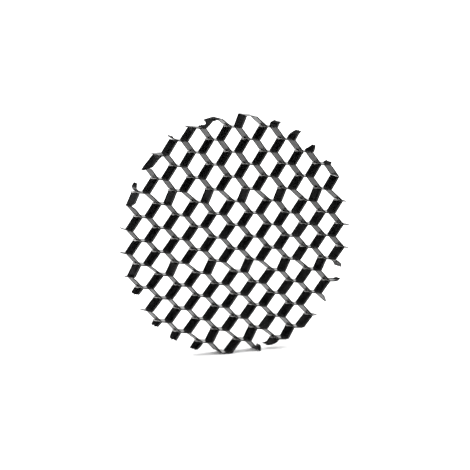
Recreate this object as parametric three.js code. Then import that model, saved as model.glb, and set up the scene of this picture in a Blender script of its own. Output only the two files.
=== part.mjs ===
// Round honeycomb grid of black foil, standing upright on its rim.
//
// Millimetres. X runs to the right, Z up and Y along the cells. The front face looks to -Y.
// The origin is the centre of the disc, halfway through its thickness.
//
// The grid is expanded foil honeycomb. Foil strips lie one above the other, each one runs from
// side to side in a zig-zag, and neighbours are glued face to face at their flats. A level is a
// line of glued flats. Strip n hangs between level n and level n + 1, and a flat stands on a level
// at every second column. The expanded block is die cut to a disc, so the strips end at the rim.

import * as THREE from 'three';

// Disc
const DISC_DIAMETER = 50;
const DISC_THICKNESS = 4;
const FOIL_THICKNESS = 0.1;
const GLUE_THICKNESS = 0.03;

// Glued flats
const FLAT_LENGTH = 2.29;
const FLAT_TILT = THREE.MathUtils.degToRad(-7.5);
const SHORTEST_GLUED_STUB = 0.9;

// The die drags a bend that lies just outside its edge inwards and leaves it whole. It crushes
// the topmost strip, which stands free, from further out.
const DRAGGED_IN_FROM = 0.65;
const CRUSHED_IN_FROM = 1.5;
const CRUSHED_ABOVE = 24.5;

// Levels, counted from 0 at the top. The block is pulled further open in its upper half.
const LEVEL_COUNT = 21;
const TOP_LEVEL_HEIGHT = 25.05;
const LEVEL_PITCH_UPPER = 2.58;
const LEVEL_PITCH_LOWER = 2.4;
const PITCH_CHANGE_START = 4;
const PITCH_CHANGE_END = 12;

// Columns, counted from 0 in the middle. They fan out downwards, and the rows slope and sag.
const OUTER_COLUMN = 7;
const COLUMN_PITCH_TOP = 3.985;
const COLUMN_PITCH_GAIN = 0.0164;
const ROW_SLOPE = -0.168;
const ROW_SAG = -0.0098;

// The glue lines are printed in a cycle of six sheets, and each new cycle starts a little over.
const SHEETS_PER_CYCLE = 6;
const CYCLE_START_LEVEL = 7;
const CYCLE_STEP_OVER = 0.68;
const LEVEL_SHIFT = -0.15;

const discRadius = DISC_DIAMETER / 2;
const edgeRadius = discRadius - FOIL_THICKNESS;
const halfStack = (FOIL_THICKNESS + GLUE_THICKNESS) / 2;
const halfFlat = new THREE.Vector2(FLAT_LENGTH / 2, 0).rotateAround(new THREE.Vector2(), FLAT_TILT);
const flatNormal = new THREE.Vector2(0, 1).rotateAround(new THREE.Vector2(), FLAT_TILT);

/** Height of every level at column 0, from the top level down. */
function levelHeights() {
  const heights = [TOP_LEVEL_HEIGHT];
  for (let level = 1; level < LEVEL_COUNT; level += 1) {
    const change = THREE.MathUtils.smoothstep(level - 0.5, PITCH_CHANGE_START, PITCH_CHANGE_END);
    const pitch = THREE.MathUtils.lerp(LEVEL_PITCH_UPPER, LEVEL_PITCH_LOWER, change);
    heights.push(heights[level - 1] - pitch);
  }
  return heights;
}

const heights = levelHeights();

/** Centre of the glued flat at a column of a level. */
function flatCentre(column, level) {
  const cycle = Math.floor((level - CYCLE_START_LEVEL) / SHEETS_PER_CYCLE);
  const pitch = COLUMN_PITCH_TOP + COLUMN_PITCH_GAIN * level;
  const x = pitch * column + LEVEL_SHIFT + CYCLE_STEP_OVER * cycle;
  const z = heights[level] + ROW_SLOPE * column + ROW_SAG * column ** 2;
  return new THREE.Vector2(x, z);
}

/** Whether a column has its flat on this level. */
function isFlatOn(column, level) {
  return Math.abs(column + level) % 2 === 1;
}

/**
 * End of a flat, -1 for its left and 1 for its right end. One that lies a little outside the disc
 * is dragged in to the edge, together with both strips that meet there.
 */
function flatEnd(column, level, side) {
  const end = flatCentre(column, level).addScaledVector(halfFlat, side);
  const outside = end.length() - edgeRadius;
  const limit = end.y > CRUSHED_ABOVE ? CRUSHED_IN_FROM : DRAGGED_IN_FROM;
  return outside > 0 && outside < limit ? end.setLength(edgeRadius) : end;
}

/** Middle line of strip n before the disc is cut: two bends for every column. */
function stripLine(strip) {
  const points = [];
  for (let column = -OUTER_COLUMN; column <= OUTER_COLUMN; column += 1) {
    const onUpper = isFlatOn(column, strip);
    const level = onUpper ? strip : strip + 1;
    const offset = onUpper ? -halfStack : halfStack;
    points.push(flatEnd(column, level, -1).addScaledVector(flatNormal, offset));
    points.push(flatEnd(column, level, 1).addScaledVector(flatNormal, offset));
  }
  return points;
}

/** Point between a, inside the disc, and b, outside it, where the line meets the cutting circle. */
function cutPoint(a, b) {
  const run = b.clone().sub(a);
  const towards = a.dot(run);
  const reach = discRadius ** 2 - a.lengthSq();
  const share = (-towards + Math.sqrt(towards ** 2 + run.lengthSq() * reach)) / run.lengthSq();
  return a.clone().addScaledVector(run, share);
}

/** Pieces of a line that the cutting circle leaves, each with the glued length that it keeps. */
function cutByDisc(line) {
  const pieces = [];
  let piece = null;
  for (let k = 0; k < line.length - 1; k += 1) {
    const [a, b] = [line[k], line[k + 1]];
    const [aInside, bInside] = [a.length() < discRadius, b.length() < discRadius];
    if (!aInside && !bInside) {
      continue;
    }
    const start = aInside ? a : cutPoint(b, a);
    const end = bInside ? b : cutPoint(a, b);
    if (!piece) {
      piece = { points: [start], glued: 0 };
      pieces.push(piece);
    }
    piece.points.push(end);
    piece.glued += k % 2 === 0 ? start.distanceTo(end) : 0;
    if (!bInside) {
      piece = null;
    }
  }
  return pieces.filter((each) => each.glued > SHORTEST_GLUED_STUB);
}

/** Outline of a foil of even thickness along a bent middle line, with mitred bends. */
function foilOutline(points) {
  const left = [];
  const right = [];
  points.forEach((point, k) => {
    const before = points[Math.max(k - 1, 0)];
    const after = points[Math.min(k + 1, points.length - 1)];
    const into = point.clone().sub(k > 0 ? before : after).multiplyScalar(k > 0 ? 1 : -1).normalize();
    const out = after.clone().sub(k < points.length - 1 ? point : before).normalize();
    const along = into.clone().add(out).normalize();
    const across = new THREE.Vector2(-along.y, along.x);
    const reach = FOIL_THICKNESS / 2 / along.dot(into);
    left.push(point.clone().addScaledVector(across, reach));
    right.push(point.clone().addScaledVector(across, -reach));
  });
  return new THREE.Shape([...right, ...left.reverse()]);
}

/** Black coated aluminium foil. */
function foilMaterial() {
  return new THREE.MeshStandardMaterial({ color: 0x0c0c0d, roughness: 0.3, metalness: 0.2 });
}

/** One foil strip, as deep as the disc is thick. */
function foilStrip(points, name) {
  const geometry = new THREE.ExtrudeGeometry(foilOutline(points), {
    depth: DISC_THICKNESS,
    bevelEnabled: false,
  });
  geometry.rotateX(Math.PI / 2);
  geometry.translate(0, DISC_THICKNESS / 2, 0);
  const mesh = new THREE.Mesh(geometry, foilMaterial());
  mesh.name = name;
  return mesh;
}

/** Name of a strip, with a letter for each piece where the disc's edge cuts it into several. */
function stripName(strip, index, count) {
  const number = String(strip + 1).padStart(2, '0');
  const letter = count > 1 ? `_${'abcdefgh'[index]}` : '';
  return `foil_strip_${number}${letter}`;
}

const grid = new THREE.Group();
grid.name = 'honeycomb_grid';
for (let strip = 0; strip < LEVEL_COUNT - 1; strip += 1) {
  const pieces = cutByDisc(stripLine(strip));
  pieces.forEach((piece, index) => {
    grid.add(foilStrip(piece.points, stripName(strip, index, pieces.length)));
  });
}

export default grid;
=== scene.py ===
"""Looks of a round honeycomb grid cut from black foil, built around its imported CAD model."""

import itertools
import math
from collections import namedtuple

import bmesh
import bpy
from bpy.props import FloatProperty, FloatVectorProperty, IntProperty, PointerProperty
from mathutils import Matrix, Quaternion, Vector, noise


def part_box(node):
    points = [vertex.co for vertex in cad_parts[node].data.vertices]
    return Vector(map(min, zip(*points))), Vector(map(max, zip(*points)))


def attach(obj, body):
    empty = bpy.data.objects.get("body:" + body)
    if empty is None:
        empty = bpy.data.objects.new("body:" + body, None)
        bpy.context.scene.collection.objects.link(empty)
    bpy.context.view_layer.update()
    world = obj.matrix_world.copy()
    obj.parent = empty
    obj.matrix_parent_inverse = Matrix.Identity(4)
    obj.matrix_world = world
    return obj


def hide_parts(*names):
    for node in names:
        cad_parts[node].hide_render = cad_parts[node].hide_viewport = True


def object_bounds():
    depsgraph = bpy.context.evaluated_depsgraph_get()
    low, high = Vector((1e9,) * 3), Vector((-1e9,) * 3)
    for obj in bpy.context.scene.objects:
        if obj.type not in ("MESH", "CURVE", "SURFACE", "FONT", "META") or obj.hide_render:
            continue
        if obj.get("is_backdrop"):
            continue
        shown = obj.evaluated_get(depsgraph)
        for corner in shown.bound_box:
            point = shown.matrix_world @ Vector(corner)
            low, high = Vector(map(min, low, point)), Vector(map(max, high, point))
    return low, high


bl_info = {
    "name": "Foil Honeycomb Grid",
    "version": (1, 0, 0),
    "blender": (4, 5, 0),
    "location": "View3D > Sidebar > Honeycomb",
    "description": "Foil strips, glue films, finishes and stage of a round honeycomb grid",
    "category": "Object",
}

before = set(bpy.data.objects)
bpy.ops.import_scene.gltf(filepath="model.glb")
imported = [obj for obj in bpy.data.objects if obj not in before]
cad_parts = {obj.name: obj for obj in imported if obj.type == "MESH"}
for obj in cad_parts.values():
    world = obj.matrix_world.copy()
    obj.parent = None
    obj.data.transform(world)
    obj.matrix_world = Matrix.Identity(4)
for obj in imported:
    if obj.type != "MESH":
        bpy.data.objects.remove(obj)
CAD_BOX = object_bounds()

MM = 0.001
NEAR = 0.001 * MM
BODY = "root"
NODE_START = "foil_strip_"
STRIPS = sorted(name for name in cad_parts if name.startswith(NODE_START))


# ---------------------------------------------------------------- settings


class FoilSettings(bpy.types.PropertyGroup):
    """Shape of the foil strips"""

    bend_radius: FloatProperty(
        name="Bend radius",
        description="Radius of the middle of the foil at each fold",
        default=0.18 * MM,
        unit="LENGTH",
    )
    warp: FloatProperty(
        name="Warp",
        description="How far the cell walls stray from their drawn place",
        default=0.085 * MM,
        unit="LENGTH",
    )
    seed: IntProperty(
        name="Seed",
        description="Number that picks one warp of many",
        default=1,
        min=1,
    )
    dent: FloatProperty(
        name="Dents",
        description="Depth of the small dents in a wall",
        default=0.012 * MM,
        unit="LENGTH",
    )
    burr: FloatProperty(
        name="Burr",
        description="How ragged the cut front and back edges are",
        default=0.022 * MM,
        unit="LENGTH",
    )
    bead: FloatProperty(
        name="Bead",
        description="Thickness of the coat and foil together along the cut edges",
        default=0.24 * MM,
        unit="LENGTH",
    )
    depth_steps: IntProperty(
        name="Depth steps",
        description="Faces across the depth of a strip",
        default=12,
        min=2,
    )
    run_cuts: IntProperty(
        name="Wall cuts",
        description="Cuts across each straight wall of a strip",
        default=7,
        min=1,
    )


class GlueSettings(bpy.types.PropertyGroup):
    """Shape of the glue films"""

    recess: FloatProperty(
        name="Recess",
        description="How far a film stays back from the front and back edges",
        default=0.05 * MM,
        unit="LENGTH",
    )
    thickness: FloatProperty(
        name="Thickness",
        description="Thickness of a film between two flats",
        default=0.024 * MM,
        unit="LENGTH",
    )
    run_out: FloatProperty(
        name="Run-out",
        description="Half the width of the glue that has run out over the lower wall",
        default=0.17 * MM,
        unit="LENGTH",
    )
    swell: FloatProperty(
        name="Swell",
        description="How far that glue stands up from the wall",
        default=0.08 * MM,
        unit="LENGTH",
    )
    rows: IntProperty(
        name="Rows",
        description="Faces along the depth of a film",
        default=8,
        min=2,
    )


class FinishSettings(bpy.types.PropertyGroup):
    """Colours and gloss"""

    coat_colour: FloatVectorProperty(
        name="Coat colour",
        description="Colour of the black coating",
        subtype="COLOR",
        default=(0.0035, 0.0035, 0.0038),
    )
    coat_roughness: FloatProperty(
        name="Coat roughness",
        description="Roughness of clean coating",
        subtype="FACTOR",
        default=0.13,
    )
    # The glue is real. Its light grey on the run-out along each fold is a painted highlight.
    glue_and_highlight_colour: FloatVectorProperty(
        name="Glue and highlight colour",
        description="Colour of the set glue",
        subtype="COLOR",
        default=(0.38, 0.375, 0.365),
    )


class StageSettings(bpy.types.PropertyGroup):
    """Camera and light"""

    azimuth: FloatProperty(
        name="Camera azimuth",
        description="Angle of the camera round the disc, from straight in front",
        subtype="ANGLE",
        default=math.radians(-24.4),
    )
    elevation: FloatProperty(
        name="Camera elevation",
        description="Angle of the camera above the horizon",
        subtype="ANGLE",
        default=math.radians(9.5),
    )
    distance: FloatProperty(
        name="Camera distance",
        description="From the camera to the middle of the disc",
        default=600 * MM,
        unit="LENGTH",
    )
    view_width: FloatProperty(
        name="View width",
        description="Width of the picture at the disc",
        default=96.63 * MM,
        unit="LENGTH",
    )


# ---------------------------------------------------------------- shader groups

# Waves of each noise per metre.
GRAIN_WAVES = 9000.0
DUST_WAVES = 5200.0
MILL_WAVES = 11000.0
NICK_WAVES = 2600.0
COAT_PATCH_WAVES = 700.0
GLUE_PATCH_WAVES = 1500.0

# The mill's lines are a noise that runs this much slower along the strip than across it.
MILL_SLOWDOWN = 0.02


def new_group(name, inputs, outputs):
    """Empty shader node group with float, colour or vector sockets."""
    tree = bpy.data.node_groups.new(name, "ShaderNodeTree")
    for label, kind, default in inputs:
        socket = tree.interface.new_socket(name=label, in_out="INPUT", socket_type=kind)
        if default is not None:
            socket.default_value = default
    for label, kind in outputs:
        tree.interface.new_socket(name=label, in_out="OUTPUT", socket_type=kind)
    return tree, tree.nodes.new("NodeGroupInput"), tree.nodes.new("NodeGroupOutput")


def add_math(tree, operation, first, second=None, clamp=False):
    """Math node; each value is a number or a socket."""
    node = tree.nodes.new("ShaderNodeMath")
    node.operation = operation
    node.use_clamp = clamp
    for socket, value in zip(node.inputs, (first, second)):
        if isinstance(value, bpy.types.NodeSocket):
            tree.links.new(value, socket)
        elif value is not None:
            socket.default_value = value
    return node.outputs[0]


def add_range(tree, value, low, high, to_low=0.0, to_high=1.0):
    """Smooth map of a value from one range to another."""
    node = tree.nodes.new("ShaderNodeMapRange")
    node.interpolation_type = "SMOOTHSTEP"
    tree.links.new(value, node.inputs["Value"])
    for label, number in (("From Min", low), ("From Max", high), ("To Min", to_low), ("To Max", to_high)):
        node.inputs[label].default_value = number
    return node.outputs["Result"]


def add_noise(tree, vector, scale, detail=2.0, roughness=0.5):
    """Noise texture in metres: scale is waves per metre."""
    node = tree.nodes.new("ShaderNodeTexNoise")
    node.inputs["Scale"].default_value = scale
    node.inputs["Detail"].default_value = detail
    node.inputs["Roughness"].default_value = roughness
    tree.links.new(vector, node.inputs["Vector"])
    return node.outputs["Fac"]


def coat_mottle_group():
    """Patchy gloss of sprayed coating: cloudy roughness, fine grain and dust specks."""
    tree, given, result = new_group(
        "Coat mottle",
        [("Vector", "NodeSocketVector", None), ("Patch scale", "NodeSocketFloat", COAT_PATCH_WAVES)],
        [("Patches", "NodeSocketFloat"), ("Grain", "NodeSocketFloat"), ("Dust", "NodeSocketFloat")],
    )
    patches = tree.nodes.new("ShaderNodeTexNoise")
    patches.inputs["Detail"].default_value = 3.0
    tree.links.new(given.outputs["Vector"], patches.inputs["Vector"])
    tree.links.new(given.outputs["Patch scale"], patches.inputs["Scale"])
    tree.links.new(add_range(tree, patches.outputs["Fac"], 0.32, 0.68), result.inputs["Patches"])
    grain = add_noise(tree, given.outputs["Vector"], GRAIN_WAVES, detail=3.0, roughness=0.6)
    tree.links.new(grain, result.inputs["Grain"])
    specks = add_noise(tree, given.outputs["Vector"], DUST_WAVES, detail=1.0)
    tree.links.new(add_range(tree, specks, 0.71, 0.76), result.inputs["Dust"])
    return tree


def rolled_lines_group():
    """Faint lines along the foil left by the rolling mill."""
    tree, given, result = new_group(
        "Rolled lines",
        [("Along", "NodeSocketFloat", 0.0), ("Across", "NodeSocketFloat", 0.0)],
        [("Lines", "NodeSocketFloat")],
    )
    squash = add_math(tree, "MULTIPLY", given.outputs["Along"], MILL_SLOWDOWN)
    combine = tree.nodes.new("ShaderNodeCombineXYZ")
    tree.links.new(squash, combine.inputs["X"])
    tree.links.new(given.outputs["Across"], combine.inputs["Y"])
    tree.links.new(add_noise(tree, combine.outputs["Vector"], MILL_WAVES), result.inputs["Lines"])
    return tree


def cut_edge_group():
    """Mask of the cut front and back edges, broken up so that it looks scuffed."""
    tree, given, result = new_group(
        "Cut edge",
        [
            ("Vector", "NodeSocketVector", None),
            ("Half depth", "NodeSocketFloat", 0.002),
            ("Reach", "NodeSocketFloat", 0.00022),
        ],
        [("Edge", "NodeSocketFloat"), ("Bare", "NodeSocketFloat")],
    )
    split = tree.nodes.new("ShaderNodeSeparateXYZ")
    tree.links.new(given.outputs["Vector"], split.inputs[0])
    depth = add_math(tree, "ABSOLUTE", split.outputs["Y"])
    start = add_math(tree, "SUBTRACT", given.outputs["Half depth"], given.outputs["Reach"])
    past = add_math(tree, "SUBTRACT", depth, start)
    edge = add_math(tree, "DIVIDE", past, given.outputs["Reach"], clamp=True)
    tree.links.new(edge, result.inputs["Edge"])
    broken = add_noise(tree, given.outputs["Vector"], NICK_WAVES, detail=3.0, roughness=0.7)
    nicks = add_range(tree, broken, 0.6, 0.68)
    tree.links.new(add_math(tree, "MULTIPLY", edge, nicks), result.inputs["Bare"])
    return tree


def place_group(tree, group):
    """Node that uses a group in a material."""
    node = tree.nodes.new("ShaderNodeGroup")
    node.node_tree = group
    return node


def add_mix(tree, factor, first, second):
    """Colour mix; each colour is a socket or an RGBA tuple."""
    node = tree.nodes.new("ShaderNodeMix")
    node.data_type = "RGBA"
    tree.links.new(factor, node.inputs["Factor"])
    for label, value in (("A", first), ("B", second)):
        socket = next(s for s in node.inputs if s.name == label and s.type == "RGBA")
        if isinstance(value, bpy.types.NodeSocket):
            tree.links.new(value, socket)
        else:
            socket.default_value = value
    return next(s for s in node.outputs if s.type == "RGBA")


def sine(degrees):
    """Height on the unit sphere at an angle above the horizon."""
    return math.sin(math.radians(degrees))


def rgba(colour, gain=1.0):
    """Opaque colour, lightened or darkened by a gain."""
    return (*(channel * gain for channel in colour), 1.0)


# ---------------------------------------------------------------- materials

FOIL_FINISH = "black coated foil"
# Material of the glue films. Its light grey paints a highlight along each fold.
GLUE_FINISH = "set glue"

DUST_COLOUR = (0.02, 0.019, 0.018)
BARE_COLOUR = (0.06, 0.06, 0.063)
BARE_METAL = 0.2

# Mirror strength of clean coating, and how much of it the thick edges and the mill lines lose.
COAT_SHEEN = 0.55
EDGE_DULLING = 0.32
STREAK_DULLING = 0.2

# How far the roughness of the coating drifts down and up, and what dust and a cut edge add to it.
COAT_DRIFT = (-0.03, 0.07)
DUST_ROUGHNESS = 0.3
EDGE_ROUGHNESS = 0.2
GLUE_ROUGHNESS = (0.35, 0.6)

# How much darker and lighter each colour gets from patch to patch.
COAT_GAINS = (0.75, 1.35)
GLUE_GAINS = (0.6, 1.4)


def new_material(name):
    """Material with its Principled shader."""
    material = bpy.data.materials.new(name)
    material.use_nodes = True
    return material, material.node_tree, material.node_tree.nodes["Principled BSDF"]


def patchy_colour(tree, mottle, colour, gains):
    """A colour that drifts between a darker and a lighter gain from patch to patch."""
    return add_mix(tree, mottle.outputs["Patches"], rgba(colour, gains[0]), rgba(colour, gains[1]))


def add_bump(tree, shader, height, strength, distance):
    """Bump on a material."""
    bump = tree.nodes.new("ShaderNodeBump")
    bump.inputs["Strength"].default_value = strength
    bump.inputs["Distance"].default_value = distance
    tree.links.new(height, bump.inputs["Height"])
    tree.links.new(bump.outputs["Normal"], shader.inputs["Normal"])


def black_foil_material(finish, groups):
    """Glossy black coat on aluminium foil, with dull, scuffed cut edges."""
    _, tree, shader = new_material(FOIL_FINISH)
    place = tree.nodes.new("ShaderNodeTexCoord").outputs["Object"]

    mottle = place_group(tree, groups["mottle"])
    tree.links.new(place, mottle.inputs["Vector"])

    along = tree.nodes.new("ShaderNodeAttribute")
    along.attribute_name = "along_strip"
    split = tree.nodes.new("ShaderNodeSeparateXYZ")
    tree.links.new(place, split.inputs[0])
    lines = place_group(tree, groups["lines"])
    tree.links.new(along.outputs["Fac"], lines.inputs["Along"])
    tree.links.new(split.outputs["Y"], lines.inputs["Across"])

    edge = place_group(tree, groups["edge"])
    tree.links.new(place, edge.inputs["Vector"])
    edge.inputs["Half depth"].default_value = CAD_BOX[1].y

    colour = patchy_colour(tree, mottle, finish.coat_colour, COAT_GAINS)
    colour = add_mix(tree, mottle.outputs["Dust"], colour, rgba(DUST_COLOUR))
    colour = add_mix(tree, edge.outputs["Bare"], colour, rgba(BARE_COLOUR))
    tree.links.new(colour, shader.inputs["Base Color"])

    smoothest, roughest = (finish.coat_roughness + drift for drift in COAT_DRIFT)
    clean = add_range(tree, mottle.outputs["Patches"], 0.0, 1.0, smoothest, roughest)
    dusty = add_math(tree, "MULTIPLY", mottle.outputs["Dust"], DUST_ROUGHNESS)
    scuffed = add_math(tree, "MULTIPLY", edge.outputs["Edge"], EDGE_ROUGHNESS)
    rough = add_math(tree, "ADD", add_math(tree, "ADD", clean, dusty), scuffed)
    tree.links.new(rough, shader.inputs["Roughness"])

    dull = add_math(tree, "MULTIPLY", edge.outputs["Edge"], EDGE_DULLING)
    streaks = add_range(tree, lines.outputs["Lines"], 0.42, 0.66, 0.0, STREAK_DULLING)
    gloss = add_math(tree, "SUBTRACT", add_math(tree, "SUBTRACT", COAT_SHEEN, dull), streaks)
    tree.links.new(gloss, shader.inputs["Specular IOR Level"])
    metal = add_math(tree, "MULTIPLY", edge.outputs["Bare"], BARE_METAL)
    tree.links.new(metal, shader.inputs["Metallic"])

    grain = add_math(tree, "MULTIPLY", mottle.outputs["Grain"], 0.5)
    height = add_math(tree, "ADD", grain, add_math(tree, "MULTIPLY", lines.outputs["Lines"], 0.7))
    add_bump(tree, shader, height, strength=0.1, distance=0.004 * MM)


def glue_material(finish, groups):
    """Dull grey glue that has set, light enough that its run-out along each fold shows as a painted
    highlight.
    """
    _, tree, shader = new_material(GLUE_FINISH)
    place = tree.nodes.new("ShaderNodeTexCoord").outputs["Object"]
    mottle = place_group(tree, groups["mottle"])
    mottle.inputs["Patch scale"].default_value = GLUE_PATCH_WAVES
    tree.links.new(place, mottle.inputs["Vector"])
    # Light grey glue colour: on the run-out along each fold it is a painted highlight.
    colour = patchy_colour(tree, mottle, finish.glue_and_highlight_colour, GLUE_GAINS)
    tree.links.new(colour, shader.inputs["Base Color"])
    rough = add_range(tree, mottle.outputs["Patches"], 0.0, 1.0, *GLUE_ROUGHNESS)
    tree.links.new(rough, shader.inputs["Roughness"])
    add_bump(tree, shader, mottle.outputs["Grain"], strength=0.4, distance=0.01 * MM)


def finishes():
    """The materials, made once and shared by every operator."""
    if FOIL_FINISH not in bpy.data.materials:
        groups = {
            "mottle": coat_mottle_group(),
            "lines": rolled_lines_group(),
            "edge": cut_edge_group(),
        }
        finish = bpy.context.scene.honeycomb_finish
        black_foil_material(finish, groups)
        glue_material(finish, groups)
    return bpy.data.materials[FOIL_FINISH], bpy.data.materials[GLUE_FINISH]


# ---------------------------------------------------------------- strips


def front_corners(node):
    """Corners of a strip's front face, from left to right. Each pair lies across one bend."""
    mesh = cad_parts[node].data
    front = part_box(node)[0].y
    found = {
        (round(v.co.x / NEAR), round(v.co.z / NEAR))
        for v in mesh.vertices
        if v.co.y - front < NEAR
    }
    return [Vector((x * NEAR, 0.0, z * NEAR)) for x, z in sorted(found)]


def middle_line(node):
    """Middle line of a strip: its left end, every bend and its right end."""
    corners = front_corners(node)
    return [(a + b) / 2 for a, b in zip(corners[0::2], corners[1::2])]


LINES = {node: middle_line(node) for node in STRIPS}
DEPTH = CAD_BOX[1].y - CAD_BOX[0].y
HALF_DEPTH = DEPTH / 2
FOIL = (front_corners(STRIPS[0])[1] - front_corners(STRIPS[0])[0]).length

# Turn of the foil at a usual fold. A fold beside a wall up to TIGHT_RUN long gets the tight radius.
FOLD_TURN = math.radians(57)
FOLD_SEGMENTS = 5
TIGHT_RUN = 0.75 * MM
TIGHT_RADIUS = 0.06 * MM

# Faces longer than this are cut up finely. Faces that turn more than CREASE have a sharp edge.
UNCUT_RUN = 0.55 * MM
CREASE = math.radians(50)

# Thick coat along the cut edges: how far in it is thickest, how far it reaches from there, and the
# share of it that fits between glued flats.
BEAD_INSET = 0.06 * MM
BEAD_REACH = 0.2 * MM
BEAD_ON_FLATS = 0.2

# Sideways part of a surface's normal at which the bead starts to grow, and over which it does.
BEAD_TILT = 0.25
BEAD_TILT_SPAN = 0.4

# Sizes of the waves of the grid's drift, of the dents, of the burr and of the torn tips.
SLOW_DRIFT_WAVE = 5.5 * MM
QUICK_DRIFT_WAVE = 2.4 * MM
QUICK_DRIFT_SHARE = 0.35
DENT_WAVE = 0.9 * MM
SMALL_DENT_WAVE = 0.4 * MM
SMALL_DENT_SHARE = 0.5
BURR_WAVE = 0.35 * MM
BENT_BURR_WAVE = 0.6 * MM
TEAR_WAVE = 0.55 * MM

# Steps through the noise that keep its uses apart.
SLOW_STEP = Vector((3.1, 0.7, 5.2))
QUICK_STEP = Vector((9.4, 2.6, 1.3))
BURR_STEP = Vector((7.0, 7.0, 7.0))
TEAR_STEP = 3.7


def deselect_all():
    """Clears the selection, in object mode."""
    if bpy.context.object and bpy.context.object.mode != "OBJECT":
        bpy.ops.object.mode_set(mode="OBJECT")
    bpy.ops.object.select_all(action="DESELECT")


def select_only(piece):
    """Selects one piece and makes it active."""
    deselect_all()
    piece.select_set(True)
    bpy.context.view_layer.objects.active = piece


def select_in_edit(piece, kind, test):
    """Selects the points, edges or faces that a test accepts, in edit mode. Returns how many."""
    mesh = bmesh.from_edit_mesh(piece.data)
    items = {"VERT": mesh.verts, "EDGE": mesh.edges, "FACE": mesh.faces}[kind]
    bpy.ops.mesh.select_mode(type=kind)
    bpy.ops.mesh.select_all(action="DESELECT")
    chosen = [item for item in items if test(item)]
    for item in chosen:
        item.select_set(True)
    bmesh.update_edit_mesh(piece.data)
    return len(chosen)


def runs_through(edge):
    """Whether an edge runs from the front to the back."""
    a, b = (v.co for v in edge.verts)
    return abs(a.y - b.y) > 10 * (abs(a.x - b.x) + abs(a.z - b.z))


def round_bends(piece, radius, shortest, longest):
    """Bevels the folds whose shorter neighbouring wall has a length in this range."""

    def in_range(edge):
        if len(edge.link_faces) != 2:
            return False
        run = min(face.calc_area() for face in edge.link_faces) / DEPTH
        return shortest < run <= longest

    if select_in_edit(piece, "EDGE", in_range):
        offset = radius * math.tan(FOLD_TURN / 2)
        bpy.ops.mesh.bevel(offset=offset, offset_type="OFFSET", segments=FOLD_SEGMENTS, affect="EDGES")


def folded_sheet(name, line, settings):
    """Thin sheet pulled along a strip's middle line, with round folds, cut up finely."""
    deselect_all()
    start = line[0]
    bpy.ops.mesh.primitive_plane_add(size=DEPTH, location=start + Vector((DEPTH / 2, 0, 0)))
    piece = bpy.context.object
    piece.name = name
    bpy.ops.object.transform_apply(location=True, rotation=False, scale=False)
    bpy.ops.object.mode_set(mode="EDIT")
    select_in_edit(piece, "VERT", lambda v: v.co.x > start.x + DEPTH / 2)
    bpy.ops.mesh.delete(type="VERT")
    bpy.ops.mesh.select_all(action="SELECT")
    for a, b in zip(line, line[1:]):
        bpy.ops.mesh.extrude_region_move(TRANSFORM_OT_translate={"value": b - a})

    round_bends(piece, settings.bend_radius, TIGHT_RUN, math.inf)
    round_bends(piece, TIGHT_RADIUS, 2 * TIGHT_RADIUS, TIGHT_RUN)
    select_in_edit(piece, "EDGE", runs_through)
    bpy.ops.mesh.subdivide(number_cuts=settings.depth_steps - 1)
    select_in_edit(piece, "EDGE", lambda e: e.calc_length() > UNCUT_RUN and not runs_through(e))
    bpy.ops.mesh.subdivide(number_cuts=settings.run_cuts)
    bpy.ops.object.mode_set(mode="OBJECT")
    return piece


def distances(line):
    """Distance along a line up to each of its points."""
    total = [0.0]
    for a, b in zip(line, line[1:]):
        total.append(total[-1] + (b - a).length)
    return total


def mark_along(piece, line):
    """Stores how far along the strip each point lies, for the rolled lines in the finish."""
    reached = distances(line)
    along = piece.data.attributes.new("along_strip", "FLOAT", "POINT")
    for vertex, value in zip(piece.data.vertices, along.data):
        x = vertex.co.x
        run = next((k for k in range(len(line) - 2) if x < line[k + 1].x), len(line) - 2)
        span = line[run + 1].x - line[run].x
        share = (x - line[run].x) / span if span else 0.0
        value.value = reached[run] + share * (reached[run + 1] - reached[run])


def warp_at(point, settings):
    """Drift of the whole grid at a place, the same for every strip, so glued flats stay together."""
    slow = noise.noise_vector(point / SLOW_DRIFT_WAVE + SLOW_STEP)
    quick = noise.noise_vector(point / QUICK_DRIFT_WAVE + QUICK_STEP)
    drift = (slow + QUICK_DRIFT_SHARE * quick) * settings.warp
    return Vector((drift.x, 0.0, drift.z))


# How the die has left one end of a strip. grow is how far the tip is drawn out and root how far
# back that starts, both in millimetres. share is what is left of the depth at the tip, and lean
# where that lies, from -1 at the front to 1 at the back. curl is how far the tip turns down, in
# degrees, and ragged how deep its cut edge is torn, in millimetres.
EndShape = namedtuple(
    "EndShape",
    "grow root share lean curl ragged",
    defaults=(0.0, 0.5, 1.0, 0.0, 0, 0.03),
)
PLAIN = EndShape(ragged=0.04)

# Tips that two strips share, because they are glued together there and torn together.
LEFT_TIP_07_08 = EndShape(grow=0.3, root=0.8, share=0.4, lean=0.8)
RIGHT_TIP_07_08 = EndShape(root=0.9, share=0.3, lean=-0.8)
LEFT_TIP_09_10 = EndShape(grow=0.6, root=1.0, share=0.2, lean=0.6, curl=-10)
RIGHT_TIP_09_10 = EndShape(root=1.3, share=0.3, lean=-0.8)
LEFT_TIP_11_12 = EndShape(grow=0.4, root=0.9, share=0.25, lean=0.8)
RIGHT_TIP_11_12 = EndShape(grow=0.2, root=0.9, share=0.3, lean=-0.8)
LEFT_TIP_13_14 = EndShape(grow=0.6, root=0.6, share=0.3, lean=0.8)
RIGHT_TIP_14_15 = EndShape(grow=0.6, root=0.8, share=0.4, lean=-0.4)
LEFT_TIP_16_17 = EndShape(grow=0.5, root=1.2, share=0.25, lean=0.7)
RIGHT_TIP_17_18 = EndShape(grow=0.7, root=0.9, share=0.35)

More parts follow.
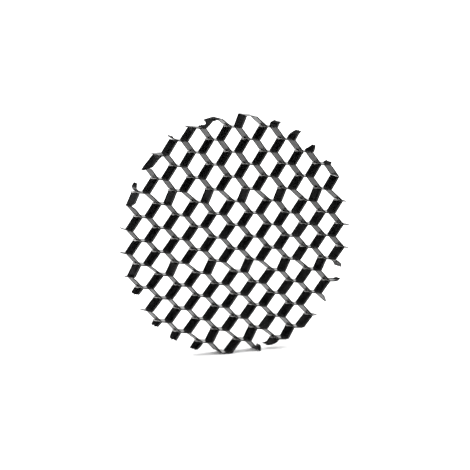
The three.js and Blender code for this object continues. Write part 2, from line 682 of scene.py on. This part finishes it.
# Left and right end of each strip, from the top down.
ENDS = {
    "01": (
        EndShape(grow=0.9, root=1.0, share=0.25, lean=0.95, ragged=0.04),
        EndShape(grow=0.2, root=1.0, share=0.7, lean=-0.5, curl=35, ragged=0.08),
    ),
    "02": (
        EndShape(grow=0.6, root=0.7, share=0.45, lean=0.9, curl=-25, ragged=0.04),
        EndShape(grow=0.2, root=1.4, share=0.6, lean=-0.4, curl=15, ragged=0.12),
    ),
    "03": (
        EndShape(grow=0.7, root=0.7, share=0.6, lean=0.7, curl=-10, ragged=0.04),
        EndShape(grow=-0.2, root=1.5, share=0.3, lean=-0.6, curl=-8, ragged=0.1),
    ),
    "04": (
        EndShape(grow=0.9, root=0.25, share=0.3, lean=0.9, curl=15),
        EndShape(grow=0.35, share=0.6, lean=0.3, curl=10, ragged=0.15),
    ),
    "05": (EndShape(grow=0.1, root=0.3, share=0.9, lean=0.5, ragged=0.02), PLAIN),
    "06": (EndShape(grow=0.9, root=0.9, share=0.35, lean=0.9, curl=-60), PLAIN),
    "07": (LEFT_TIP_07_08, RIGHT_TIP_07_08),
    "08": (LEFT_TIP_07_08, RIGHT_TIP_07_08),
    "09": (LEFT_TIP_09_10, RIGHT_TIP_09_10),
    "10": (LEFT_TIP_09_10, RIGHT_TIP_09_10),
    "11": (LEFT_TIP_11_12, RIGHT_TIP_11_12),
    "12": (LEFT_TIP_11_12, RIGHT_TIP_11_12),
    "13": (LEFT_TIP_13_14, EndShape(grow=-0.2, root=1.0, share=0.7, curl=35, ragged=0.25)),
    "14": (LEFT_TIP_13_14, RIGHT_TIP_14_15),
    "15": (EndShape(grow=0.1, root=1.0, share=0.9, lean=0.1, ragged=0.45), RIGHT_TIP_14_15),
    "16": (LEFT_TIP_16_17, EndShape(grow=0.8, root=1.2, share=0.15, lean=0.2, ragged=0.05)),
    "17": (LEFT_TIP_16_17, RIGHT_TIP_17_18),
    "18": (EndShape(grow=0.5, root=0.7, share=0.85, ragged=0.4), RIGHT_TIP_17_18),
    "19": (
        EndShape(grow=0.3, root=1.2, share=0.85, ragged=0.45),
        EndShape(grow=0.2, root=0.6, share=0.5, curl=30, ragged=0.05),
    ),
    "20_a": (
        EndShape(grow=0.1, root=1.2, share=0.85, lean=0.2, ragged=0.45),
        EndShape(grow=0.4, root=0.8, share=0.4, lean=0.3, curl=-60, ragged=0.04),
    ),
    "20_b": (
        EndShape(grow=0.4, root=1.5, share=0.5, lean=0.3, curl=-30, ragged=0.15),
        EndShape(grow=0.2, root=0.6, share=0.5, ragged=0.06),
    ),
}

# Wall of the topmost strip that has a notch, how far past the middle of its depth the notch goes,
# and how fast the notch widens towards the back.
NOTCHED_WALL = 2
NOTCH_PAST_MIDDLE = 0.6 * MM
NOTCH_WIDENING = 0.28


def point_on(line, distance):
    """Point at a distance along a line."""
    reached = distances(line)
    k = max(i for i in range(len(line) - 1) if reached[i] <= distance)
    return line[k].lerp(line[k + 1], (distance - reached[k]) / (reached[k + 1] - reached[k]))


def drawn_out(place, from_end, line, side, shape):
    """Where a point near one end of a strip goes; side is -1 for the left end."""
    root = shape.root * MM
    if from_end >= root:
        return place
    hinge = point_on(line, root if side < 0 else distances(line)[-1] - root)
    outward = (line[0 if side < 0 else -1] - hinge).normalized()
    reach = 1.0 - from_end / root
    tear = noise.noise(Vector((place.y / TEAR_WAVE, TEAR_STEP * side, line[0].z / MM)))
    place = place + outward * (shape.grow + shape.ragged * tear) * reach * MM
    narrow = 1.0 - (1.0 - shape.share) * reach
    depth = place.y * narrow + shape.lean * HALF_DEPTH * (1.0 - narrow)
    turn = Quaternion((0, 1, 0), math.radians(shape.curl) * reach * side)
    turned = turn @ Vector((place.x - hinge.x, 0.0, place.z - hinge.z))
    return Vector((hinge.x + turned.x, depth, hinge.z + turned.z))


def shape_ends(piece, node):
    """Draws out, narrows, curls and tears both ends of a strip."""
    line = LINES[node]
    total = distances(line)[-1]
    left, right = ENDS[node.removeprefix(NODE_START)]
    for vertex, value in zip(piece.data.vertices, piece.data.attributes["along_strip"].data):
        vertex.co = drawn_out(vertex.co, value.value, line, -1, left)
        vertex.co = drawn_out(vertex.co, total - value.value, line, 1, right)


def notch_arch(piece):
    """Tears a notch into the left leg of the topmost arch, open towards the back."""
    select_only(piece)
    bpy.ops.object.mode_set(mode="EDIT")
    start, end = LINES[STRIPS[0]][NOTCHED_WALL : NOTCHED_WALL + 2]
    middle = start.lerp(end, 0.5)
    along = (end - start).normalized()

    def in_notch(face):
        place = face.calc_center_median()
        half_width = NOTCH_WIDENING * (place.y + NOTCH_PAST_MIDDLE)
        return abs((place - middle).dot(along)) < half_width and start.x < place.x < end.x

    if select_in_edit(piece, "FACE", in_notch):
        bpy.ops.mesh.delete(type="FACE")
    bpy.ops.object.mode_set(mode="OBJECT")


def gather_rows(piece):
    """Moves the rows of points towards the cut edges, where the bead needs them."""
    for vertex in piece.data.vertices:
        vertex.co.y = HALF_DEPTH * math.sin(vertex.co.y / HALF_DEPTH * math.pi / 2)


def mark_bead(piece):
    """Weights the points along the cut edges, where the coat has dried thick. Flats have no room."""
    group = piece.vertex_groups.new(name="bead")
    for vertex in piece.data.vertices:
        inset = HALF_DEPTH - abs(vertex.co.y)
        across = max(0.0, 1.0 - abs(inset - BEAD_INSET) / BEAD_REACH)
        upright = min(1.0, max(BEAD_ON_FLATS, (abs(vertex.normal.x) - BEAD_TILT) / BEAD_TILT_SPAN))
        if across:
            group.add([vertex.index], across * upright, "REPLACE")


def crumple(piece, settings):
    """Warps the walls, dents them and makes the cut edges ragged."""
    normals = [v.normal.copy() for v in piece.data.vertices]
    for vertex, normal in zip(piece.data.vertices, normals):
        place = vertex.co.copy()
        dent = noise.noise(place / DENT_WAVE) + SMALL_DENT_SHARE * noise.noise(place / SMALL_DENT_WAVE)
        vertex.co += warp_at(place, settings) + normal * dent * settings.dent
        if abs(abs(place.y) - HALF_DEPTH) < NEAR:
            vertex.co.y += noise.noise(place / BURR_WAVE) * settings.burr
            vertex.co += normal * noise.noise(place / BENT_BURR_WAVE + BURR_STEP) * settings.burr


def apply_modifier(piece, kind, **values):
    """Adds a modifier, sets it and applies it."""
    select_only(piece)
    modifier = piece.modifiers.new(kind.title(), kind)
    for key, value in values.items():
        setattr(modifier, key, value)
    bpy.ops.object.modifier_apply(modifier=modifier.name)


def foil_strip(node, settings, material):
    """One finished foil strip in the place of its CAD solid."""
    line = LINES[node]
    piece = folded_sheet(node.replace("foil_strip", "folded_foil"), line, settings)
    mark_along(piece, line)
    gather_rows(piece)
    mark_bead(piece)
    shape_ends(piece, node)
    if node == STRIPS[0]:
        notch_arch(piece)
    crumple(piece, settings)
    apply_modifier(
        piece,
        "SOLIDIFY",
        thickness=settings.bead,
        offset=0.0,
        use_even_offset=True,
        vertex_group="bead",
        thickness_vertex_group=FOIL / settings.bead,
    )
    bpy.ops.object.shade_smooth_by_angle(angle=CREASE)
    piece.data.materials.clear()
    piece.data.materials.append(material)
    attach(piece, BODY)
    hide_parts(node)


# ---------------------------------------------------------------- glue

# A flat rises or falls by less than this share of its run, and a shorter one holds no glue.
FLAT_SLOPE = 0.3
SHORTEST_FLAT = 0.25 * MM

# The middles of two glued flats lie this close together, and a flat whose end is this close to the
# end of its strip has been cut by the die.
GLUED_REACH = 0.2 * MM
CUT_REACH = 0.3 * MM

# A film thins down from its ends within this length. Its plain end is a small round nose. Where
# glue has run out, the nose lies over the wall below, further out and lower.
FILM_TAPER = 0.1 * MM
NOSE_OUT = 0.04 * MM
NOSE_RADIUS = 0.03 * MM
RUN_OUT_PLACE = Vector((-0.24 * MM, 0, -0.16 * MM))

# Depth at which the run-out starts, and the length over which it swells to its full size.
RUN_OUT_START = -0.2 * MM
RUN_OUT_SWELL = 0.9 * MM

# A film is made from a cylinder. This share of its width becomes the two sides of the film. The
# rest, up to the first angle from its left and right, is wound round the noses up to the second.
FILM_SIDES = 16
SIDE_SHARE = 0.5
NOSE_PART = math.radians(45)
NOSE_TURN = math.radians(130)

# What the die leaves of a nose: how far back it is cut, and how much of its length and height stays.
CUT_BACK = 0.05 * MM
CUT_LENGTH_LEFT = 0.1
CUT_HEIGHT_LEFT = 0.04

# Share of the model's length in which all of the stretching or shortening takes place, to both
# sides of the middle.
FITTED_SHARE = 0.2

# Lumps of the glue that has run out.
LUMP_WAVE = 0.5 * MM
LUMP_HEIGHT = 0.02 * MM


def flats(line):
    """Flats of a strip that can hold glue, as pairs of ends."""
    pairs = [(a, b) for a, b in zip(line, line[1:]) if b.x - a.x > SHORTEST_FLAT]
    return [(a, b) for a, b in pairs if abs(b.z - a.z) < FLAT_SLOPE * (b.x - a.x)]


def glued_flats():
    """Both ends of every glue film, after the name of its upper strip."""
    found = []
    for upper, lower in itertools.combinations(STRIPS, 2):
        for a, b in flats(LINES[upper]):
            for c, d in flats(LINES[lower]):
                if ((a + b) / 2 - (c + d) / 2).length < GLUED_REACH:
                    found.append((upper, (a + c) / 2, (b + d) / 2))
    return found


def nose(angle, centre, swell, width, slope):
    """Point on the round end of a glue film, flattened against a wall that slopes down."""
    out = Vector((-math.sin(slope), 0.0, math.cos(slope))) * swell * math.cos(angle)
    down = Vector((-math.cos(slope), 0.0, -math.sin(slope))) * width * math.sin(angle)
    return centre + out + down


def film_point(place, half, settings):
    """Where a point of the cylinder that a film is made from goes."""
    across, height = place.x / half, place.z / half
    if abs(across) < SIDE_SHARE:
        x = across / SIDE_SHARE * (half - FILM_TAPER)
        return Vector((x, place.y, math.copysign(settings.thickness / 2, height)))
    angle = -math.asin(height) * NOSE_TURN / NOSE_PART
    plain = nose(angle, Vector((-half - NOSE_OUT, 0, 0)), NOSE_RADIUS, NOSE_RADIUS, math.pi / 2)
    if across > 0:
        return Vector((-plain.x, place.y, plain.z))
    spot = Vector((-half, 0, 0)) + RUN_OUT_PLACE
    full = nose(angle, spot, settings.swell, settings.run_out, FOLD_TURN)
    swollen = plain.lerp(full, min(1.0, max(0.0, (place.y - RUN_OUT_START) / RUN_OUT_SWELL)))
    return Vector((swollen.x, place.y, swollen.z))


def glue_film_model(length, settings):
    """One film with its flat along X. Glue has run out of its left end towards the back."""
    deselect_all()
    bpy.ops.mesh.primitive_cylinder_add(
        vertices=FILM_SIDES,
        radius=length / 2,
        depth=DEPTH - 2 * settings.recess,
        rotation=(math.pi / 2, 0, 0),
    )
    film = bpy.context.object
    bpy.ops.object.transform_apply(location=False, rotation=True, scale=False)
    bpy.ops.object.mode_set(mode="EDIT")
    select_in_edit(film, "EDGE", runs_through)
    bpy.ops.mesh.subdivide(number_cuts=settings.rows - 1)
    bpy.ops.object.mode_set(mode="OBJECT")
    for vertex in film.data.vertices:
        vertex.co = film_point(vertex.co, length / 2, settings)
    return film


def cut_by_die(x, z, half, side):
    """A point of a film's nose, cut back and pressed flat if it lies past a flat's cut end."""
    past = side * x - (half - CUT_BACK)
    if past <= 0:
        return x, z
    return side * (half - CUT_BACK + CUT_LENGTH_LEFT * past), z * CUT_HEIGHT_LEFT


def glue_film(model, name, upper, start, end, length, warp, material):
    """Copy of the model, which has a flat of this length, fitted between one pair of flats."""
    select_only(model)
    bpy.ops.object.duplicate()
    film = bpy.context.object
    film.name = name
    along = (end - start).normalized()
    normal = Vector((-along.z, 0.0, along.x))
    longer = ((end - start).length - length) / 2
    half = (end - start).length / 2
    line = LINES[upper]
    left, right = ENDS[upper.removeprefix(NODE_START)]
    torn = []
    if (start - line[0]).length < CUT_REACH:
        torn.append((-1, left))
    if (end - line[-1]).length < CUT_REACH:
        torn.append((1, right))
    for vertex in film.data.vertices:
        x, y, z = vertex.co
        x += longer * max(-1.0, min(1.0, x / (FITTED_SHARE * length)))
        for side, _ in torn:
            x, z = cut_by_die(x, z, half, side)
        place = (start + end) / 2 + along * x + normal * z + Vector((0.0, y, 0.0))
        for side, shape in torn:
            place = drawn_out(place, half - side * x, line, side, shape)
        lumps = noise.noise(place / LUMP_WAVE) * LUMP_HEIGHT if x < -half else 0.0
        vertex.co = place + warp_at(place, warp) + Vector((-lumps, 0.0, lumps))
    bpy.ops.object.shade_smooth()
    film.data.materials.append(material)
    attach(film, BODY)


# ---------------------------------------------------------------- stage

# The studio as the foil mirrors it, with angles above the horizon in degrees. The wall is white
# up to its first angle and dark from its second. The ring above it fades in and out.
WALL_GLOW = 1.35
WALL_DARK = 0.005
WALL_FADE = (9, 14)
RING_GLOW = 0.18
RING_FADE_IN = (21, 25)
RING_FADE_OUT = (40, 50)

# Direction of the bright side of the wall, from straight behind the disc towards its right. Away
# from it the wall dims to a share of its glow, between these cosines of the angle.
BRIGHT_SIDE = math.radians(60)
DIM_SHARE = 0.2
SIDE_FADE = (0.2, 0.65)

# Light that the surroundings and the overhead light throw on dull surfaces.
FILL_LIGHT = 2.6
OVERHEAD_LIGHT = 0.5
OVERHEAD_WIDTH = math.radians(75)

# Lightness of the floor, and of its mirror image close to the disc, further off and far away,
# with the distances from the disc over which one gives way to the next. The mirror image is a
# painted reflection: greys that only glossy rays see, darker than the lit floor.
FLOOR_SIZE = 6.0
FLOOR_ROUGHNESS = 0.9
FLOOR = 0.93
MIRRORED_CLOSE = 0.46
MIRRORED_NEXT = 0.235
MIRRORED_FAR = 0.48
CLOSE_TO_NEXT = (20 * MM, 65 * MM)
NEXT_TO_FAR = (70 * MM, 160 * MM)

# The middle of the picture, from the middle of the disc: to the right, up and towards the camera.
PICTURE_SHIFT = Vector((-0.37 * MM, -0.05 * MM, 0))


def grey(lightness):
    """Opaque grey."""
    return rgba((lightness, lightness, lightness))


def add_floor(low):
    """Pale floor under the disc. Its mirror image in the foil is a painted reflection: darker greys, seen
    only by glossy rays, that differ with the distance.
    """
    deselect_all()
    bpy.ops.mesh.primitive_plane_add(size=FLOOR_SIZE, location=(0, 0, low))
    floor = bpy.context.object
    floor.name = "floor"
    bpy.ops.object.transform_apply(location=True, rotation=False, scale=False)
    material, tree, shader = new_material("pale floor")
    shader.inputs["Roughness"].default_value = FLOOR_ROUGHNESS
    shader.inputs["Specular IOR Level"].default_value = 0.0
    place = tree.nodes.new("ShaderNodeTexCoord").outputs["Object"]
    length = tree.nodes.new("ShaderNodeVectorMath")
    length.operation = "LENGTH"
    tree.links.new(place, length.inputs[0])
    far = add_range(tree, length.outputs["Value"], *NEXT_TO_FAR)
    away = add_range(tree, length.outputs["Value"], *CLOSE_TO_NEXT)
    # Painted reflection: glossy rays see these darker greys in place of the lit floor.
    mirrored = add_mix(tree, far, grey(MIRRORED_NEXT), grey(MIRRORED_FAR))
    mirrored = add_mix(tree, away, grey(MIRRORED_CLOSE), mirrored)
    path = tree.nodes.new("ShaderNodeLightPath")
    colour = add_mix(tree, path.outputs["Is Glossy Ray"], grey(FLOOR), mirrored)
    tree.links.new(colour, shader.inputs["Base Color"])
    floor.data.materials.append(material)
    floor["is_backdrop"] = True


def fade(tree, up, angles, start, end):
    """Value that passes from start to end between two angles above the horizon."""
    return add_range(tree, up, sine(angles[0]), sine(angles[1]), start, end)


def add_world():
    """Studio round the disc.

    The camera sees white and dull surfaces get an even fill. The foil mirrors a low white wall,
    dark above it, and a dim ring of light in the dark.
    """
    world = bpy.data.worlds.new("studio")
    bpy.context.scene.world = world
    world.use_nodes = True
    tree = world.node_tree
    tree.nodes.clear()
    output = tree.nodes.new("ShaderNodeOutputWorld")
    place = tree.nodes.new("ShaderNodeTexCoord")
    split = tree.nodes.new("ShaderNodeSeparateXYZ")
    tree.links.new(place.outputs["Generated"], split.inputs[0])
    up = split.outputs["Z"]

    around = add_math(tree, "ARCTAN2", split.outputs["X"], split.outputs["Y"])
    nearness = add_math(tree, "COSINE", add_math(tree, "SUBTRACT", around, BRIGHT_SIDE))
    side = add_range(tree, nearness, *SIDE_FADE, DIM_SHARE, 1.0)
    wall = add_math(tree, "MULTIPLY", fade(tree, up, WALL_FADE, WALL_GLOW, WALL_DARK), side)
    fade_in = fade(tree, up, RING_FADE_IN, 0.0, 1.0)
    ring = add_math(tree, "MULTIPLY", fade_in, fade(tree, up, RING_FADE_OUT, RING_GLOW, 0.0))

    path = tree.nodes.new("ShaderNodeLightPath")
    mirrored = add_math(tree, "MULTIPLY", path.outputs["Is Glossy Ray"], add_math(tree, "ADD", wall, ring))
    fill = add_math(tree, "MULTIPLY", path.outputs["Is Diffuse Ray"], FILL_LIGHT)
    strength = add_math(tree, "ADD", mirrored, path.outputs["Is Camera Ray"])
    strength = add_math(tree, "ADD", strength, fill)
    light = tree.nodes.new("ShaderNodeBackground")
    tree.links.new(strength, light.inputs["Strength"])
    tree.links.new(light.outputs["Background"], output.inputs["Surface"])


def add_overhead_light():
    """Very soft light from straight above."""
    light = bpy.data.lights.new("overhead light", "SUN")
    light.angle = OVERHEAD_WIDTH
    light.energy = OVERHEAD_LIGHT
    lamp = bpy.data.objects.new("overhead light", light)
    bpy.context.scene.collection.objects.link(lamp)
    lamp.visible_glossy = False


def add_camera(stage):
    """Camera that looks at the middle of the disc from its azimuth and elevation."""
    azimuth, elevation = stage.azimuth, stage.elevation
    back = Vector(
        (
            math.sin(azimuth) * math.cos(elevation),
            -math.cos(azimuth) * math.cos(elevation),
            math.sin(elevation),
        )
    )
    data = bpy.data.cameras.new("camera")
    data.sensor_width = 36.0
    data.lens = data.sensor_width * stage.distance / stage.view_width
    data.clip_start = 0.01
    camera = bpy.data.objects.new("camera", data)
    bpy.context.scene.collection.objects.link(camera)
    camera.rotation_mode = "QUATERNION"
    camera.rotation_quaternion = (-back).to_track_quat("-Z", "Y")
    camera.location = back * stage.distance + camera.rotation_quaternion @ PICTURE_SHIFT
    bpy.context.scene.camera = camera


# ---------------------------------------------------------------- operators


class HONEYCOMB_OT_foil_strips(bpy.types.Operator):
    """Fold every foil strip along its CAD solid"""

    bl_idname = "honeycomb.foil_strips"
    bl_label = "Foil Strips"

    def execute(self, context):
        material = finishes()[0]
        foil = context.scene.honeycomb_foil
        noise.seed_set(foil.seed)
        for node in STRIPS:
            foil_strip(node, foil, material)
        return {"FINISHED"}


class HONEYCOMB_OT_glue_films(bpy.types.Operator):
    """Lay a glue film between every two flats that meet"""

    bl_idname = "honeycomb.glue_films"
    bl_label = "Glue Films"

    def execute(self, context):
        material = finishes()[1]
        foil = context.scene.honeycomb_foil
        noise.seed_set(foil.seed)
        films = glued_flats()
        length = max((end - start).length for _, start, end in films)
        model = glue_film_model(length, context.scene.honeycomb_glue)
        for number, (upper, start, end) in enumerate(films, 1):
            name = f"glue_film_{number:03d}"
            glue_film(model, name, upper, start, end, length, foil, material)
        select_only(model)
        bpy.ops.object.delete()
        return {"FINISHED"}


class HONEYCOMB_OT_stage(bpy.types.Operator):
    """Add the floor, the light and the camera"""

    bl_idname = "honeycomb.stage"
    bl_label = "Stage"

    def execute(self, context):
        add_floor(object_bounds()[0].z)
        add_world()
        add_overhead_light()
        add_camera(context.scene.honeycomb_stage)
        context.scene.view_settings.view_transform = "Standard"
        return {"FINISHED"}


class HONEYCOMB_PT_panel(bpy.types.Panel):
    """Steps that build the honeycomb grid"""

    bl_idname = "HONEYCOMB_PT_panel"
    bl_label = "Honeycomb Grid"
    bl_space_type = "VIEW_3D"
    bl_region_type = "UI"
    bl_category = "Honeycomb"

    def draw(self, context):
        column = self.layout.column()
        for operator in OPERATORS:
            column.operator(operator.bl_idname)


SETTINGS = {
    "honeycomb_foil": FoilSettings,
    "honeycomb_glue": GlueSettings,
    "honeycomb_finish": FinishSettings,
    "honeycomb_stage": StageSettings,
}
OPERATORS = [HONEYCOMB_OT_foil_strips, HONEYCOMB_OT_glue_films, HONEYCOMB_OT_stage]
CLASSES = [*SETTINGS.values(), *OPERATORS, HONEYCOMB_PT_panel]


def register():
    for each in CLASSES:
        bpy.utils.register_class(each)
    for name, settings in SETTINGS.items():
        setattr(bpy.types.Scene, name, PointerProperty(type=settings))


def unregister():
    for name in SETTINGS:
        delattr(bpy.types.Scene, name)
    for each in reversed(CLASSES):
        bpy.utils.unregister_class(each)


def main():
    """Builds the whole scene."""
    register()
    bpy.ops.honeycomb.foil_strips()
    bpy.ops.honeycomb.glue_films()
    bpy.ops.honeycomb.stage()


if __name__ == "__main__":
    main()
